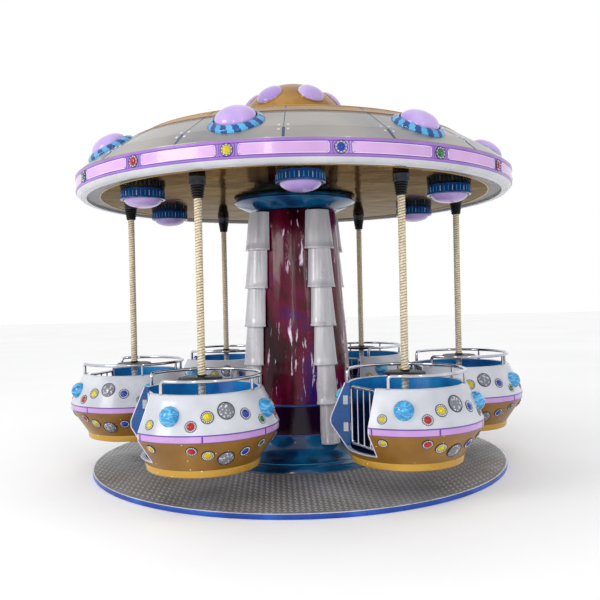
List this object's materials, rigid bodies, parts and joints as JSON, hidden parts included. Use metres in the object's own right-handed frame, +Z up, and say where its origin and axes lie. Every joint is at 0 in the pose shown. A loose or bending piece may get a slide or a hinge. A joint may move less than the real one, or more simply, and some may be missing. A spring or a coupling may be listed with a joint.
{
  "type": "chair swing ride with tub cabins",
  "caption": "Small round swing ride: a saucer canopy turns on a central column and carries hanging, turning tub cabins with barred gates over a round platform.",
  "frame": {"origin": "centre of the platform's underside, on the floor", "axes": "+Z up along the column's axis, -Y towards the side that the picture shows, +X to that view's right"},
  "size_m": [3.9769, 3.722, 3.302],
  "materials": {
    "royal_blue": "gloss",
    "deep_blue": "gloss",
    "chequer_steel": "satin",
    "magenta": "gloss",
    "white_gelcoat": "gloss",
    "lilac": "gloss",
    "silver_paint": "satin",
    "gold_paint": "metallic gloss",
    "mirror_gold": "mirror",
    "rope": "matt",
    "black_rubber": "matt",
    "chrome": "polished"
  },
  "bodies": {
    "base": {"platform": "royal_blue", "deck_plate": "chequer_steel", "column_bell": "deep_blue", "column_shell": "magenta", "spine_1": "white_gelcoat", "spine_2": "white_gelcoat", "spine_3": "white_gelcoat", "spine_4": "white_gelcoat"},
    "canopy": {"ceiling_panel": "mirror_gold", "rim_ring": "white_gelcoat", "fascia_band": "lilac", "canopy_cap": "silver_paint", "canopy_crown": "gold_paint", "crown_dome": "gold_paint", "ceiling_collar": "deep_blue"},
    "hanger_1": {"pole_1": "rope", "hand_disc_1": "black_rubber"},
    "cabin_1": {"tub_1": "white_gelcoat", "handrail_1": "chrome"},
    "door_1": {"gate_1": "chrome"},
    "hanger_2": {"pole_2": "rope", "hand_disc_2": "black_rubber"},
    "cabin_2": {"tub_2": "white_gelcoat", "handrail_2": "chrome"},
    "door_2": {"gate_2": "chrome"},
    "hanger_3": {"pole_3": "rope", "hand_disc_3": "black_rubber"},
    "cabin_3": {"tub_3": "white_gelcoat", "handrail_3": "chrome"},
    "door_3": {"gate_3": "chrome"},
    "hanger_4": {"pole_4": "rope", "hand_disc_4": "black_rubber"},
    "cabin_4": {"tub_4": "white_gelcoat", "handrail_4": "chrome"},
    "door_4": {"gate_4": "chrome"},
    "hanger_5": {"pole_5": "rope", "hand_disc_5": "black_rubber"},
    "cabin_5": {"tub_5": "white_gelcoat", "handrail_5": "chrome"},
    "door_5": {"gate_5": "chrome"},
    "hanger_6": {"pole_6": "rope", "hand_disc_6": "black_rubber"},
    "cabin_6": {"tub_6": "white_gelcoat", "handrail_6": "chrome"},
    "door_6": {"gate_6": "chrome"}
  },
  "joints": [
    {"name": "canopy_turn", "type": "hinge", "parent": "base", "child": "canopy", "pos_m": [0, 0, 2.17], "axis": [0, 0, 1], "continuous": true},
    {"name": "pole_swing_1", "type": "hinge", "parent": "canopy", "child": "hanger_1", "pos_m": [0.725, -1.25574, 2.215], "axis": [-0.866, -0.5, 0], "range_deg": [-4, 20]},
    {"name": "tub_turn_1", "type": "hinge", "parent": "hanger_1", "child": "cabin_1", "pos_m": [0.725, -1.25574, 0.3], "axis": [0, 0, 1], "continuous": true},
    {"name": "gate_hinge_1", "type": "hinge", "parent": "cabin_1", "child": "door_1", "pos_m": [0.33103, -1.2363, 0.58], "axis": [0, 0, 1], "range_deg": [0, 90]},
    {"name": "pole_swing_2", "type": "hinge", "parent": "canopy", "child": "hanger_2", "pos_m": [1.45, 0, 2.215], "axis": [0, -1, 0], "range_deg": [-4, 20]},
    {"name": "tub_turn_2", "type": "hinge", "parent": "hanger_2", "child": "cabin_2", "pos_m": [1.45, 0, 0.3], "axis": [0, 0, 1], "continuous": true},
    {"name": "gate_hinge_2", "type": "hinge", "parent": "cabin_2", "child": "door_2", "pos_m": [1.092, 0.16561, 0.58], "axis": [0, 0, 1], "range_deg": [0, 90]},
    {"name": "pole_swing_3", "type": "hinge", "parent": "canopy", "child": "hanger_3", "pos_m": [0.725, 1.25574, 2.215], "axis": [0.866, -0.5, 0], "range_deg": [-4, 20]},
    {"name": "tub_turn_3", "type": "hinge", "parent": "hanger_3", "child": "cabin_3", "pos_m": [0.725, 1.25574, 0.3], "axis": [0, 0, 1], "continuous": true},
    {"name": "gate_hinge_3", "type": "hinge", "parent": "cabin_3", "child": "door_3", "pos_m": [0.371, 1.08174, 0.58], "axis": [0, 0, 1], "range_deg": [0, 90]},
    {"name": "pole_swing_4", "type": "hinge", "parent": "canopy", "child": "hanger_4", "pos_m": [-0.725, 1.25574, 2.215], "axis": [0.866, 0.5, 0], "range_deg": [-4, 20]},
    {"name": "tub_turn_4", "type": "hinge", "parent": "hanger_4", "child": "cabin_4", "pos_m": [-0.725, 1.25574, 0.3], "axis": [0, 0, 1], "continuous": true},
    {"name": "gate_hinge_4", "type": "hinge", "parent": "cabin_4", "child": "door_4", "pos_m": [-1.06548, 1.4549, 0.58], "axis": [0, 0, 1], "range_deg": [0, 90]},
    {"name": "pole_swing_5", "type": "hinge", "parent": "canopy", "child": "hanger_5", "pos_m": [-1.45, 0, 2.215], "axis": [0, 1, 0], "range_deg": [-4, 20]},
    {"name": "tub_turn_5", "type": "hinge", "parent": "hanger_5", "child": "cabin_5", "pos_m": [-1.45, 0, 0.3], "axis": [0, 0, 1], "continuous": true},
    {"name": "gate_hinge_5", "type": "hinge", "parent": "cabin_5", "child": "door_5", "pos_m": [-1.70447, 0.30139, 0.58], "axis": [0, 0, 1], "range_deg": [0, 90]},
    {"name": "pole_swing_6", "type": "hinge", "parent": "canopy", "child": "hanger_6", "pos_m": [-0.725, -1.25574, 2.215], "axis": [-0.866, 0.5, 0], "range_deg": [-4, 20]},
    {"name": "tub_turn_6", "type": "hinge", "parent": "hanger_6", "child": "cabin_6", "pos_m": [-0.725, -1.25574, 0.3], "axis": [0, 0, 1], "continuous": true},
    {"name": "gate_hinge_6", "type": "hinge", "parent": "cabin_6", "child": "door_6", "pos_m": [-1.11306, -1.18504, 0.58], "axis": [0, 0, 1], "range_deg": [0, 90]}
  ]
}
